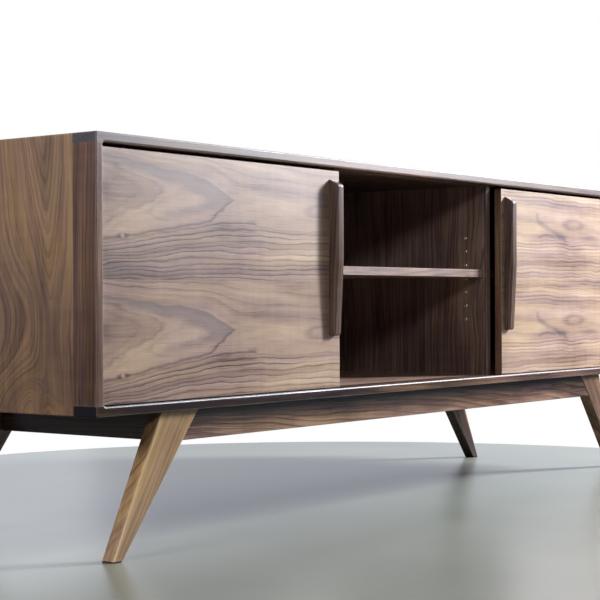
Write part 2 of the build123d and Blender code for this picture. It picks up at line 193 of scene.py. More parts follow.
def worn_edges(finish, node, fade=0.35, patch=20):
    """1 along the edges of a node's box, falling off within a few millimetres, uneven as from handling.
    A piece with a twin on the other side is measured from the middle of the sideboard, as the twin is."""
    places = (finish.x, finish.y, finish.z)
    low, high = millimetres(node)
    if low.x * high.x > 0:
        places = (finish.x.made("ABSOLUTE"), finish.y, finish.z)
        low.x, high.x = sorted((abs(low.x), abs(high.x)))
    near = []
    for place, start, end in zip(places, low, high):
        inside = (end - start) / 2 - (place - (start + end) / 2).made("ABSOLUTE")
        near.append((inside * -fade).made("EXPONENT"))
    edges = near[0] * near[1] + near[1] * near[2] + near[0] * near[2]
    return edges * (0.7 + finish.noise(*[place / patch for place in places])) * 0.8


stain_grey = (96, 88, 90)


def oiled_walnut(
    finish, years, along, across, through, stops, wear_and_painted_highlight,
    lines=1.0, tint=0.0, stain=0.0, streaky=1.0, satin=0.31,
):
    """Walnut from a count of growth rings. Soft bands and dark late wood follow the rings, then come
    fibres, pores, clouds of colour and the satin of oil. lines is the strength of the late wood, streaky
    that of the threads between its lines, stain greys the wood in places, and satin is its roughness."""
    count = years + finish.noise(years * 0.21, along / 1100, 3.7, 2.0) * 1.3
    year = count.made("FLOOR")
    season = count - year
    vigour = finish.chance(year)
    broken = finish.noise(count * 0.7, along / 320, 5.6, 2.0).between(-0.5, 0.3)
    late = (season ** 5) * season.between(1.0, 0.9) * (vigour * 0.55 + 0.45) * (broken * 0.6 + 0.4) * lines
    bands = finish.noise(count * 0.45, along / 800, 8.1, 2.0)
    threads = finish.noise(count * 2.3, along / 300, across / 200, 3.0)
    cloud = finish.noise(along / 230, across / 60, through / 60, 3.0)
    fibres = finish.noise(along / 90, across / 1.8, through / 1.8, 3.0)
    streaks = finish.noise(along / 170, across / 4.5, through / 4.5, 2.0)
    ripple = finish.noise(along / 17, across / 120, through / 120, 1.0)
    pores = finish.noise(along / 8, across / 0.8, through / 0.8, 1.0).between(0.3, 0.62)
    strands = (threads * 0.38 + fibres * 0.26 + streaks * 0.22) * streaky
    tone = bands * 0.36 + strands + cloud * 0.3 + ripple * 0.06 + tint + 0.58
    tone = tone + (vigour - 0.5) * 0.16 * lines - late * 1.0 - pores * 0.1 + wear_and_painted_highlight * 0.14
    mauve = [(position, (red - 3, green - 3, blue + 2)) for position, (red, green, blue) in stops]
    gold = [(position, (red + 2, green + 1, blue - 5)) for position, (red, green, blue) in stops]
    warmth = finish.noise(along / 330 + 7, count * 0.3, 2.2, 2.0) + cloud * 0.4
    shade = finish.blend(warmth.between(-0.35, 0.35), finish.ramp(tone, mauve), finish.ramp(tone, gold))
    finish.feed(finish.shader.inputs["Base Color"], finish.blend(stain, shade, seen(*stain_grey)))
    roughness = satin + fibres * 0.1 + cloud * 0.08 + pores * 0.1 + wear_and_painted_highlight * 0.2
    finish.feed(finish.shader.inputs["Roughness"], roughness)
    finish.relief(fibres * 0.25 - pores * 0.6 - late * 0.35, 0.12)
    return tone


def burnished(finish, flat_gloss, arris_gloss):
    """Gloss that differs between the flat front of a piece and its rounded front arrises."""
    front = finish.facing[1] * finish.facing[1]
    arris = front * (1 - front) * 4
    finish.feed(finish.shader.inputs["Specular IOR Level"], arris * (arris_gloss - flat_gloss) + flat_gloss)


def log_rings(finish, along, across, through, heart, lean, wander, spacing):
    """Growth rings, a spacing apart, from the heart of the log that a board was sawn from. The heart leans
    and wanders along the board."""
    drift = finish.noise(along / 300, across / 110, through / 110, 1.0)
    ripple = finish.noise(along / 75, across / 30, through / 30, 1.0)
    sideways = across - heart[0] + drift * wander + ripple * (wander * 0.22)
    deep = through - heart[1] + along * lean + finish.noise(along / 340, 5.3, 0.0, 1.0) * wander
    return (sideways * sideways + deep * deep) ** 0.5 / spacing


def oval(along, across, middle, reach):
    """0 in the middle of an oval, 1 on its outline and more outside."""
    sideways = (along - middle[0]) * (1 / reach[0])
    upright = (across - middle[1]) * (1 / reach[1])
    return (sideways * sideways + upright * upright) ** 0.5


end_browns = (
    (0.0, (52, 37, 30)),
    (0.3, (92, 69, 53)),
    (0.55, (124, 96, 72)),
    (0.8, (148, 118, 88)),
    (1.0, (166, 136, 103)),
)
case_top = millimetres("left_end_panel")[1].z
ends = Finish("end veneer")
# The flame is a nest of narrow arches that point down. The lines behind it sway to the front and back, and
# a small arch rises from the foot.
fall = case_top - ends.z
drift = ends.noise(fall / 210, ends.y / 260, 0.4, 1.0) * 10
drift = drift + ends.noise(fall / 60, ends.y / 22, 2.0, 2.0) * 4
beside = ends.y + 112 + fall * 0.06 + drift
sway = fall.hump(312, 95) * 44 - fall.between(365, 480) * 60
spear = fall.made("SMOOTH_MIN", 300, 60) * 0.16
ring = (beside * beside + 100) ** 0.5 + spear * beside.hump(0, 60) + sway * beside.between(12, 62)
arch = (1 - oval(ends.y, fall, (-124, 492), (46, 54))).made("MAXIMUM", 0.0)
years = ring.made("MINIMUM", 56) / 6 + (ring - 56).made("MAXIMUM", 0.0) / 11 + arch * 4
# The end panels are painted darker towards the foot, as shade.
tint = fall * -0.0004 + 0.1 - oval(ends.y, fall, (-121, 20), (16, 45)).between(1.3, 0.2) * 0.14
wear_and_painted_highlight = worn_edges(ends, "left_end_panel")
oiled_walnut(ends, years, ends.z, ends.y, ends.x, end_browns, wear_and_painted_highlight, lines=0.5, tint=tint, streaky=0.6)
ends.put_on("left_end_panel", "right_end_panel")

level_browns = (
    (0.0, (66, 49, 43)),
    (0.3, (104, 80, 70)),
    (0.55, (138, 111, 98)),
    (0.8, (162, 135, 120)),
    (1.0, (182, 155, 139)),
)
# The bottom panel, the floor of the open bay, is painted lighter as lit, and the top panel darker as shaded.
for node, start, tint in (("top_panel", 0, -0.1), ("bottom_panel", 700, 0.24)):
    flat = Finish(node.replace("_", " ") + " veneer")
    leaf = (flat.y + 300).made("PINGPONG", 223)
    years = log_rings(
        flat, flat.x + start, leaf, start, heart=(105, -38), lean=0.035, wander=15, spacing=12
    )
    # Faces that point down are painted darker, as shade.
    painted_underside_shade = flat.facing[2].between(-0.5, -0.9) * 0.75
    wear_and_painted_highlight = worn_edges(flat, node)
    oiled_walnut(
        flat, years, flat.x + start, flat.y, flat.z, level_browns, wear_and_painted_highlight, lines=0.8, tint=tint - painted_underside_shade
    )
    flat.put_on(node)

# Front strips: solid walnut, 55 mm deep, glued and dowelled to the front of the case panels. The top and
# bottom ones run through, so their end grain shows on the end faces as dark blocks.
strip_browns = (
    (0.0, (40, 28, 25)),
    (0.3, (65, 48, 42)),
    (0.55, (91, 68, 58)),
    (0.8, (115, 88, 74)),
    (1.0, (140, 111, 94)),
)
end_grain_greys = ((0.0, (26, 26, 30)), (0.5, (50, 50, 56)), (1.0, (78, 75, 78)))
# Each strip gives its node, a start along the log, its end-grain tone, painted shade towards the left,
# painted sheen in the middle and the gloss of its flat front. The top strip's end grain is painted lighter,
# as sheen, and the bottom one's darker, as shade.
strips = (
    ("top_front_strip", 0, 0.48, 0.1, 0.3, 0.5),
    ("bottom_front_strip", 900, 0.04, 0.6, 0.0, 0.06),
)
for node, start, end_grain_painted_light, left_painted_shade, middle_painted_sheen, gloss in strips:
    strip = Finish(node.replace("_", " ") + " walnut")
    burnished(strip, gloss, 0.8)
    years = log_rings(
        strip, strip.x + start, strip.y, strip.z, heart=(-330, 240), lean=0.02, wander=9, spacing=5
    )
    wear_and_painted_highlight = worn_edges(strip, node)
    # Painted light on the front: darker towards the left as shade, lighter in the middle as sheen.
    tint = strip.x.hump(-150, 320) * middle_painted_sheen - strip.x.between(500, -1000) * left_painted_shade
    tone = oiled_walnut(
        strip, years, strip.x + start, strip.y, strip.z, strip_browns, wear_and_painted_highlight, lines=0.7, tint=tint, satin=0.4
    )
    cut_pores = strip.noise(strip.y / 0.9, strip.z / 0.9, 0.0, 1.0).between(0.1, 0.5)
    end_grain = strip.ramp(tone * 0.5 + end_grain_painted_light - cut_pores * 0.2, end_grain_greys)
    long_grain = Reading(strip, strip.shader.inputs["Base Color"].links[0].from_socket)
    is_end = strip.facing[0].made("ABSOLUTE").between(0.75, 0.95)
    strip.feed(strip.shader.inputs["Base Color"], strip.blend(is_end, long_grain, end_grain))
    strip.put_on(node)

upright = Finish("end strip walnut")
burnished(upright, 0.25, 0.6)
years = log_rings(
    upright, upright.z, upright.y, upright.x.made("ABSOLUTE"),
    heart=(-480, 900), lean=0.03, wander=10, spacing=7,
)
wear_and_painted_highlight = worn_edges(upright, "left_end_strip")
# The front faces of the end strips are painted lighter, as lit.
painted_front_light = upright.facing[1].between(-0.3, -0.9) * 0.22
oiled_walnut(
    upright, years, upright.z, upright.y, upright.x, strip_browns, wear_and_painted_highlight,
    lines=0.7, tint=painted_front_light, streaky=0.7,
)
upright.put_on("left_end_strip", "right_end_strip")

# Partitions and back: veneered panels with upright grain, dowelled between top and bottom. Each partition
# has a solid lipping on its front edge, and the back is let into a rabbet and screwed.
inner_browns = (
    (0.0, (70, 55, 50)),
    (0.3, (106, 85, 77)),
    (0.55, (136, 112, 101)),
    (0.8, (158, 133, 119)),
    (1.0, (176, 151, 134)),
)
wall = Finish("partition veneer")
leaf = (wall.y + 270).made("PINGPONG", 260)
years = log_rings(wall, wall.z, leaf, 0.0, heart=(60, -30), lean=-0.09, wander=16, spacing=11)
wear_and_painted_highlight = worn_edges(wall, "left_partition")
# The partitions are painted darker towards the bottom, as shade.
painted_lower_shade = wall.z.between(500, 330) * -0.22
oiled_walnut(wall, years, wall.z, wall.y, wall.x, inner_browns, wear_and_painted_highlight, lines=0.8, tint=painted_lower_shade)
wall.put_on("left_partition", "right_partition")

edging = Finish("partition lipping walnut")
years = log_rings(
    edging, edging.z, edging.x.made("ABSOLUTE"), edging.y, heart=(-900, 300), lean=0.02, wander=8, spacing=5
)
wear_and_painted_highlight = worn_edges(edging, "left_partition_lipping")
oiled_walnut(edging, years, edging.z, edging.x, edging.y, strip_browns, wear_and_painted_highlight, lines=0.7)
edging.put_on("left_partition_lipping", "right_partition_lipping")

backing = Finish("back veneer")
leaf = backing.x.made("FLOORED_MODULO", 290)
years = log_rings(
    backing, backing.z, leaf, backing.x * 0.02, heart=(140, -45), lean=0.07, wander=15, spacing=12
)
wear_and_painted_highlight = worn_edges(backing, "back_panel")
oiled_walnut(backing, years, backing.z, backing.x, backing.y, inner_browns, wear_and_painted_highlight, lines=0.8)
backing.put_on("back_panel")


def plated(name, light, dark, roughness):
    """A bright plated finish with fine brushing and small dull spots."""
    finish = Finish(name, metallic=1.0)
    brushing = finish.noise(finish.x * 3, finish.y * 3, finish.z * 0.3, 2.0)
    dull = finish.noise(finish.x / 3, finish.y / 3, finish.z / 3, 2.0)
    colour = finish.ramp(brushing * 0.5 + dull * 0.4 + 0.5, ((0.0, dark), (1.0, light)))
    finish.feed(finish.shader.inputs["Base Color"], colour)
    finish.feed(finish.shader.inputs["Roughness"], roughness + dull * 0.12)
    finish.relief(brushing, 0.01)
    return finish


def add_piece(name, mesh_maker, finish, body):
    """A new piece from a mesh that is built by mesh_maker, finished, riding on a body."""
    mesh = bpy.data.meshes.new(name)
    built = bmesh.new()
    mesh_maker(built)
    bmesh.ops.recalc_face_normals(built, faces=built.faces)
    built.to_mesh(mesh)
    built.free()
    mesh.materials.append(finish.material)
    piece = bpy.data.objects.new(name, mesh)
    bpy.context.scene.collection.objects.link(piece)
    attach(piece, body)


def turned(built, profile, place, axis, ring=False):
    """A turned piece from points of radius, height and waist, round an axis that starts at a place. A waist
    under 1 draws the piece in between four arms. ring joins the last point to the first."""
    sides, arms = 16, 4
    turn = Vector((0, 0, 1)).rotation_difference(Vector(axis)).to_matrix()
    rings = []
    for radius, height, waist in profile:
        corners = []
        for step in range(sides):
            angle = 2 * math.pi * step / sides
            reach = radius if step % (sides // arms) == 0 else radius * waist
            corner = Vector((reach * math.cos(angle), reach * math.sin(angle), height))
            corners.append(built.verts.new(Vector(place) + turn @ corner))
        rings.append(corners)
    if ring:
        rings.append(rings[0])
    else:
        built.faces.new(rings[0])
        built.faces.new(rings[-1])
    for lower, upper in zip(rings, rings[1:]):
        for step in range(sides):
            after = (step + 1) % sides
            built.faces.new((lower[step], lower[after], upper[after], upper[step]))


screw_head = (
    (0.0036, -0.0004, 1.0),
    (0.0036, 0.0006, 1.0),
    (0.0031, 0.0012, 1.0),
    (0.0022, 0.0015, 1.0),
    (0.0017, 0.0015, 0.45),
    (0.0011, 0.0004, 0.45),
)
sunk_head = (
    (0.0036, -0.0008, 1.0),
    (0.0036, 0.0001, 1.0),
    (0.0033, 0.0002, 1.0),
    (0.0019, 0.0002, 1.0),
    (0.0018, 0.0002, 0.45),
    (0.0012, 0.0, 0.45),
)
zinc = plated("zinc plate", (196, 194, 186), (146, 144, 138), 0.36)


def add_screws(name, places, axis, body, head=screw_head):
    """Screws with a cross recess, seen from their heads."""

    def heads(built):
        for place in places:
            turned(built, head, place, axis)

    add_piece(name, heads, zinc, body)


back_low, back_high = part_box("back_panel")
screw_inset = 0.0045
columns = 5
across_back = [
    back_low.x + screw_inset + (back_high.x - back_low.x - 2 * screw_inset) * step / (columns - 1)
    for step in range(columns)
]
rows = (back_low.z + screw_inset, back_high.z - screw_inset)
back_places = [(x, back_high.y, z) for x in across_back for z in rows]
back_places += [(x, back_high.y, (back_low.z + back_high.z) / 2) for x in (across_back[0], across_back[-1])]
add_screws("back_screws", back_places, (0, 1, 0), "case", sunk_head)

# Shelves: veneered boards with a solid lipping in front, resting on pins so that their height can be
# changed. Grain runs lengthwise.
# The lipping of the centre shelf, in the open bay, is painted lighter as sheen, and those behind the doors
# darker as shade.
for side, lipping_painted_light_and_shade in (("left", -0.5), ("centre", 0.34), ("right", -0.5)):
    node = side + "_shelf"
    shelf = Finish(side + " shelf veneer")
    leaf = (shelf.y + 300).made("PINGPONG", 230)
    years = log_rings(shelf, shelf.x, leaf, 0.0, heart=(120, -40), lean=0.05, wander=14, spacing=11)
    wear_and_painted_highlight = worn_edges(shelf, node)
    oiled_walnut(shelf, years, shelf.x, shelf.y, shelf.z, inner_browns, wear_and_painted_highlight, lines=0.8)
    shelf.put_on(node)
    lipping = Finish(side + " shelf lipping walnut", specular=0.9)
    years = log_rings(
        lipping, lipping.x, lipping.z, lipping.y, heart=(260, 260), lean=0.02, wander=8, spacing=5
    )
    wear_and_painted_highlight = worn_edges(lipping, node + "_lipping")
    oiled_walnut(
        lipping, years, lipping.x, lipping.z, lipping.y, strip_browns, wear_and_painted_highlight, lines=0.7, tint=lipping_painted_light_and_shade
    )
    lipping.put_on(node + "_lipping")

# Pins and sleeves: nickel-plated steel. The sleeves line the pin holes of the open bay, and a thin rim
# of each stands on the face of the partition.
rim_reach = 0.0037
rim_bore = 0.0026
rim_proud = 0.0009
rim_sink = 0.0004
rim_lip = 0.0002
nickel = plated("nickel plate", (244, 243, 240), (214, 213, 210), 0.4)
nickel.put_on("pin_sleeves", "shelf_pins")

sleeve_low, sleeve_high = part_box("pin_sleeves")
hole_radius = 0.0033
hole_rows = 7


def sleeve_rims(built):
    """A rim round each pin hole of the open bay, on both partitions."""
    rim = (
        (rim_bore, -rim_sink, 1.0),
        (rim_bore, rim_proud * 0.8, 1.0),
        (rim_bore + rim_lip, rim_proud, 1.0),
        (rim_reach, rim_proud * 0.2, 1.0),
        (rim_reach, -rim_sink, 1.0),
    )
    lowest = sleeve_low.z + hole_radius
    pitch = (sleeve_high.z - sleeve_low.z - 2 * hole_radius) / (hole_rows - 1)
    wall_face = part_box("right_partition")[0].x
    for side in (-1, 1):
        for column in (sleeve_low.y + hole_radius, sleeve_high.y - hole_radius):
            for row in range(hole_rows):
                place = (side * wall_face, column, lowest + row * pitch)
                turned(built, rim, place, (-side, 0, 0), ring=True)


add_piece("sleeve_rims", sleeve_rims, nickel, "case")

# Doors: walnut veneer laid across on a lipped core, sliding in grooves of the front strips. Each face is
# two leaves of one flitch, slipped, so that the same flame comes twice, one above the other.
door_tans = (
    (0.0, (60, 44, 38)),
    (0.25, (106, 82, 73)),
    (0.5, (148, 121, 106)),
    (0.75, (176, 149, 128)),
    (1.0, (200, 176, 152)),
)
lipping_browns = ((0.0, (58, 38, 31)), (0.5, (112, 80, 62)), (1.0, (154, 116, 90)))
leaf_joint = 224.0
leaf_slip = 240.0


def flame_figure(finish, along, across, leaf):
    """The left door: a blunt flame from the left edge under a grey band, with a heart and a loop in it, a
    calm field to its right, even lines below it and a pin knot at its foot."""
    level = across + finish.noise(along / 190, across / 75, leaf, 1.0) * 9
    level = level + finish.noise(along / 55, across / 24, leaf, 2.0) * 4
    ragged = finish.noise(along / 45, across / 15, leaf + 3, 2.0)
    reach = along + ragged * 34
    roof = 8 + along * 0.11 + along.between(250, 380) * 30
    sill = (157 - along * 0.15).made("SMOOTH_MAX", 112, 14)
    sill = sill + along.between(408, 426) * level.between(132, 118) * 11
    above = roof - level
    beneath = level - sill
    hollow = (112 - level) / 37
    nose = (reach * 0.3 + along * 0.7 - 300 - hollow * hollow * 55) * 0.6
    rim = above.made("SMOOTH_MAX", beneath, 6).made("SMOOTH_MAX", nose, 22) + ragged * 3
    near_rim = (rim + 9 + along * 0.085 + ragged * 9).between(-12, 7)
    band = rim.between(2, -2) * near_rim * beneath.between(-12, -34)
    edge = rim.hump(-1.2, 2.8) * beneath.between(-16, -4).made("MAXIMUM", nose.between(-10, -2))
    heart = (22 + reach * 0.27 - level).made("SMOOTH_MAX", level - 132 + reach * 0.41, 22)
    outermost = heart.hump(17, 3.5) * rim.between(-6, -14)
    contours = heart.hump(2, 2.6) * 0.1 + heart.hump(-17, 3) * 0.05 + outermost * 0.06
    loop = oval(reach, level, (168, 106), (55, 12)).hump(1.0, 0.16) * along.between(225, 150)
    knot = oval(reach * 0.2 + along * 0.8, across, (50, 149), (17, 5)).between(1.4, 0.5)
    knot_heart = oval(along, across, (50, 149), (6.5, 4.5)).between(1.2, 0.5)
    eye = oval(reach * 0.3 + along * 0.7, level, (640, 86), (62, 12)).hump(1.0, 0.2)
    spot = oval(along, across, (404, 114), (22, 5)).between(1.3, 0.2)
    tint = knot_heart * 0.5 - knot * 0.32 - edge * 0.32 - band * 0.08 - contours - loop * 0.09
    tint = tint + heart.between(0, 10) * rim.between(-4, -14) * 0.12 - heart.between(0, -20) * 0.03
    # Towards its left edge the door is painted darker as shade, most of all below the flame.
    tint = tint - eye * 0.14 - spot * 0.12 - along.between(420, 0) * (beneath.between(0, 20) * 0.2 + 0.07)
    tint = tint - oval(along, across, (0, 73), (26, 22)).between(1.4, 0.0) * 0.2
    # The lines below crowd together at the left, and so do those above, towards the joint of the leaves.
    below_years = beneath.made("MAXIMUM", 0.0) / (leaf_joint + 8 - sill) * 12
    above_years = above.made("MAXIMUM", 0.0) / (roof + 18) * 5
    lines = beneath.between(-2, 8) * 1.2 + above.between(2, 22) * (across.between(12, -8) * 0.4 + 0.3)
    return below_years + above_years, lines, tint, band * 0.55 + eye * 0.15 + spot * 0.2


def eye_figure(finish, along, across, leaf):
    """The right door: gently wavy lines, with a calm band that holds a small eye and a bent grey streak."""
    level = across + finish.noise(along / 130, across / 80, leaf, 1.0) * 8
    level = level + finish.noise(along / 45, across / 30, leaf, 1.0) * 2.5
    calm = level.between(16, 44) * level.between(122, 112)
    eye = oval(along, across, (369, 74), (46, 11)).hump(1.0, 0.4)
    shaky = finish.noise(along / 35, 6.0, leaf, 2.0) * 5
    streak = (across - 71 - (along - 181) * 0.29 + shaky).hump(0, 7)
    streak = streak * along.between(172, 186) * along.between(338, 315)
    start = oval(along, across, (176, 61), (9, 13)).between(1.3, 0.3)
    pool = oval(along, across, (302, 105), (38, 9)).between(1.3, 0.2)
    spur = (across - 103 - (along - 225) * (along - 225) * 0.0035).hump(0, 3) * along.between(176, 190)
    spur = spur * along.between(285, 260)
    smudge = oval(along, across, (452, 106), (56, 7)).between(1.3, 0.2)
    marks = streak * 0.8 + start * 0.5 + pool * 0.5 + spur * 0.6 + smudge * 0.55 + eye * 0.6
    return (level + 200) / 9, 0.95 - calm * 0.8, marks * -0.22 + 0.06, marks * 0.4


for side, figure in (("left", flame_figure), ("right", eye_figure)):
    door = Finish(side + " door veneer")
    low, high = millimetres(side + "_door_side_lippings")
    along = door.x - low.x
    drop = high.z - door.z
    second = drop.between(leaf_joint - 0.2, leaf_joint + 0.2)
    across = drop - second * leaf_slip
    years, lines, tint, grey = figure(door, along, across, second * 0.12)
    wear_and_painted_highlight = worn_edges(door, side + "_door_side_lippings")
    door_height = high.z - low.z
    # A dark line along the foot of each door is painted shadow of the gap under it.
    painted_gap_shadow = drop.between(door_height - 2.6, door_height - 0.8) * 0.45
    tint = tint + second * 0.02 - painted_gap_shadow
    oiled_walnut(door, years, along, across, door.y, door_tans, wear_and_painted_highlight, lines, tint, stain=grey, streaky=0.4)
    # The edges show the solid lipping.
    face = Reading(door, door.shader.inputs["Base Color"].links[0].from_socket)
    edge_fibres = door.noise((door.x + door.z) / 160, door.y / 2.4, 4.0, 3.0)
    edge = door.ramp(edge_fibres * 0.8 + 0.45, lipping_browns)
    is_face = door.facing[1].made("ABSOLUTE").between(0.6, 0.8)
    door.feed(door.shader.inputs["Base Color"], door.blend(is_face, edge, face))
    door.put_on(side + "_door_panel", side + "_door_side_lippings", side + "_door_level_lippings")

# Door pulls: shaped from dark solid walnut, straight above and tapered to the foot, with a low ridge down
# the front and rounded arrises, and screwed on from behind the door.
pull_browns = (
    (0.0, (42, 31, 29)),
    (0.3, (66, 51, 47)),
    (0.55, (90, 71, 65)),
    (0.8, (110, 89, 81)),
    (1.0, (130, 107, 97)),
)
screw_reach = 0.06
for side in ("left", "right"):
    pull = Finish(side + " pull walnut", specular=0.2)
    across = pull.x - millimetres(side + "_handle")[0].x
    years = log_rings(pull, pull.z, across, pull.y, heart=(95, -330), lean=0.05, wander=9, spacing=6)
    oiled_walnut(pull, years, pull.z, across, pull.y, pull_browns, worn_edges(pull, side + "_handle"))
    pull.put_on(side + "_handle")
    pull_low, pull_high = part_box(side + "_handle")
    door_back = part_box(side + "_door_panel")[1].y
    pull_middle = (pull_low.x + pull_high.x) / 2
    heights = (pull_low.z + screw_reach, pull_high.z - screw_reach)
    screw_places = [(pull_middle, door_back, z) for z in heights]
    add_screws(side + "_pull_screws", screw_places, (0, 1, 0), side + "_door")

# Door glides and guides: glide blocks below and guide pegs above, of black nylon, let into the doors. They
# run in the grooves of the bottom and top strips.
nylon_greys = ((0.0, (24, 24, 25)), (1.0, (42, 42, 43)))
nylon = Finish("black nylon", specular=0.1)
cloud = nylon.noise(nylon.x / 12, nylon.y / 12, nylon.z / 12, 2.0)
rubbing_and_painted_highlight = nylon.noise(nylon.x / 2, nylon.y * 2, nylon.z * 2, 2.0)
nylon.feed(nylon.shader.inputs["Base Color"], nylon.ramp(cloud + 0.5, nylon_greys))
nylon.feed(nylon.shader.inputs["Roughness"], 0.6 + rubbing_and_painted_highlight * 0.15)
nylon.relief(rubbing_and_painted_highlight, 0.02)
for side in ("left", "right"):
    nylon.put_on(side + "_door_glides", side + "_door_guides")

# Legs: solid walnut, lighter than the case, flat boards that splay and taper to the foot, with the grain
# along the leg. Aprons join them with angled shoulders and tenons.
leg_golds = (
    (0.0, (84, 62, 43)),
    (0.3, (118, 91, 63)),
    (0.55, (148, 117, 82)),
    (0.8, (170, 137, 98)),
    (1.0, (190, 158, 116)),
)
leg_browns_painted_shade = (
    (0.0, (30, 21, 17)),
    (0.3, (60, 43, 34)),
    (0.55, (94, 70, 54)),
    (0.8, (122, 94, 73)),
    (1.0, (146, 116, 92)),
)
leg_lean = math.radians(32)
# At the floor the outer edge falls short of leg_reach, from the middle, by foot_edge, and it leans in as it
# rises. A pale highlight is painted along its front arris.
leg_reach = 1000
foot_edge = 21.0
edge_lean = 0.492
# The legs other than the front left one take a darker ramp as painted shade, and the rear right one a lower
# tint still.
boards = (
    ("front_left", leg_golds, 0.04),
    ("front_right", leg_browns_painted_shade, 0.1),
    ("rear_left", leg_browns_painted_shade, 0.0),
    ("rear_right", leg_browns_painted_shade, -0.2),
)
for number, (corner, stops, tint) in enumerate(boards):
    leg = Finish(corner.replace("_", " ") + " leg walnut")
    burnished(leg, 0.4, 1.0)
    inward = leg.x.made("ABSOLUTE") * -1 + leg_reach
    along = leg.z * math.cos(leg_lean) + inward * math.sin(leg_lean) + number * 400
    across = inward * math.cos(leg_lean) - leg.z * math.sin(leg_lean)
    years = log_rings(leg, along, across, leg.y, heart=(-300, -160), lean=0.015, wander=7, spacing=6)
    off_arris = inward - foot_edge - leg.z * edge_lean + leg.y - millimetres(corner + "_leg")[0].y
    # A painted highlight along the front arris, added to the wear and lightening the tint.
    rubbing_and_painted_highlight = (off_arris * -0.3).made("EXPONENT")
    wear_and_painted_highlight = worn_edges(leg, corner + "_leg") + rubbing_and_painted_highlight
    tint = tint + rubbing_and_painted_highlight * 0.8 - leg.z.between(130, 20) * 0.16
    oiled_walnut(leg, years, along, across, leg.y, stops, wear_and_painted_highlight, lines=0.6, tint=tint)
    leg.put_on(corner + "_leg")

# Aprons: solid walnut rails, dark like the case, tenoned into the legs. The long ones are set back under the
# case, and their tops are painted darker as the shadow of the case.
apron_browns = (
    (0.0, (28, 19, 16)),
    (0.3, (58, 41, 34)),
    (0.55, (86, 63, 51)),
    (0.8, (114, 87, 70)),
    (1.0, (142, 112, 91)),
)
for number, node in enumerate(("front_apron", "rear_apron")):
    apron = Finish(node.replace("_", " ") + " walnut", specular=0.3)
    along = apron.x + number * 1300
    years = log_rings(apron, along, apron.z, apron.y, heart=(170, -290), lean=0.05, wander=11, spacing=8)
    low, high = millimetres(node)
    # Painted shadow of the case along the top of the apron.
    tint = apron.noise(along / 160, 2.0, 0.0, 1.0) * 0.35 - apron.z.between(low.z, high.z) * 0.95 + 0.34
    wear_and_painted_highlight = worn_edges(apron, node)
    oiled_walnut(apron, years, along, apron.z, apron.y, apron_browns, wear_and_painted_highlight, lines=0.9, tint=tint)
    apron.put_on(node)

side_apron = Finish("side apron walnut")
years = log_rings(
    side_apron, side_apron.y, side_apron.z, side_apron.x.made("ABSOLUTE"),
    heart=(170, 790), lean=0.05, wander=16, spacing=8,
)
wear_and_painted_highlight = worn_edges(side_apron, "left_apron")
oiled_walnut(
    side_apron, years, side_apron.y, side_apron.z, side_apron.x, apron_browns, wear_and_painted_highlight, lines=0.9, tint=-0.2
)
side_apron.put_on("left_apron", "right_apron")

# Parts under the case and hidden joinery: cleats, centre rail, dowels and splines of plain beech, without
# a finish. The cleats are screwed up into the case and hold it on the base.
beech_tones = (
    (0.0, (150, 116, 82)),
    (0.5, (184, 150, 112)),
    (1.0, (206, 174, 136)),
)
for node in ("mounting_cleats", "centre_rail"):
    beech = Finish(node.replace("_", " ") + " beech", specular=0.3)
    along, across = (beech.x, beech.y) if node == "mounting_cleats" else (beech.y, beech.x)
    years = log_rings(beech, along, across, beech.z, heart=(-300, 400), lean=0.02, wander=8, spacing=4)
    oiled_walnut(beech, years, along, across, beech.z, beech_tones, worn_edges(beech, node), lines=0.3)
    beech.put_on(node)
cleat_low, cleat_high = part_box("mounting_cleats")
cleat_size = cleat_high.z - cleat_low.z
rail_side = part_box("centre_rail")[1].x
cleat_places = [
    (side * (rail_side + (cleat_high.x - rail_side) * share), depth, cleat_low.z)
    for side in (-1, 1)
    for share in (0.2, 0.8)
    for depth in (cleat_low.y + cleat_size / 2, cleat_high.y - cleat_size / 2)
]
add_screws("base_screws", cleat_places, (0, 0, -1), "case")

pegs = Finish("peg beech", specular=0.3)
years = log_rings(pegs, pegs.z, pegs.x, pegs.y, heart=(-3000, 400), lean=0.02, wander=8, spacing=4)
wear_and_painted_highlight = worn_edges(pegs, "strip_dowels")
oiled_walnut(pegs, years, pegs.z, pegs.x, pegs.y, beech_tones, wear_and_painted_highlight, lines=0.3)
pegs.put_on("strip_dowels", "partition_dowels", "mitre_splines")

# Felt pads: dark pressed felt, glued under the feet. Their surface is matt and fuzzy, and only a thin edge
# of them shows.
felt_greys = ((0.0, (28, 25, 24)), (1.0, (62, 56, 52)))
felt = Finish("dark felt", specular=0.1)
fuzz = felt.noise(felt.x * 3, felt.y * 3, felt.z * 3, 4.0)
felt.feed(felt.shader.inputs["Base Color"], felt.ramp(fuzz + 0.5, felt_greys))
felt.feed(felt.shader.inputs["Roughness"], 0.9 + fuzz * 0.08)
felt.relief(fuzz, 0.3)
felt.put_on("foot_glides")

# Floor: a round, plain piece of pale grey concrete with a slight polish. It only carries the sideboard and
# its shadow.
floor_greys = ((0.0, (108, 110, 101)), (1.0, (138, 140, 129)))
floor_radius = 1.42
floor_mesh = bpy.data.meshes.new("floor")
disc = bmesh.new()
bmesh.ops.create_circle(disc, cap_ends=True, segments=128, radius=floor_radius)
disc.to_mesh(floor_mesh)
disc.free()
floor = bpy.data.objects.new("floor", floor_mesh)
bpy.context.scene.collection.objects.link(floor)
concrete = Finish("pale floor", specular=0.32)
cloud = concrete.noise(concrete.x / 420, concrete.y / 420, 0.0, 2.0)
speck = concrete.noise(concrete.x / 14, concrete.y / 14, 0.0, 3.0)
grey = concrete.ramp(cloud * 0.4 + speck * 0.1 + 0.5, floor_greys)
concrete.feed(concrete.shader.inputs["Base Color"], grey)
concrete.feed(concrete.shader.inputs["Roughness"], 0.29 + speck * 0.02)
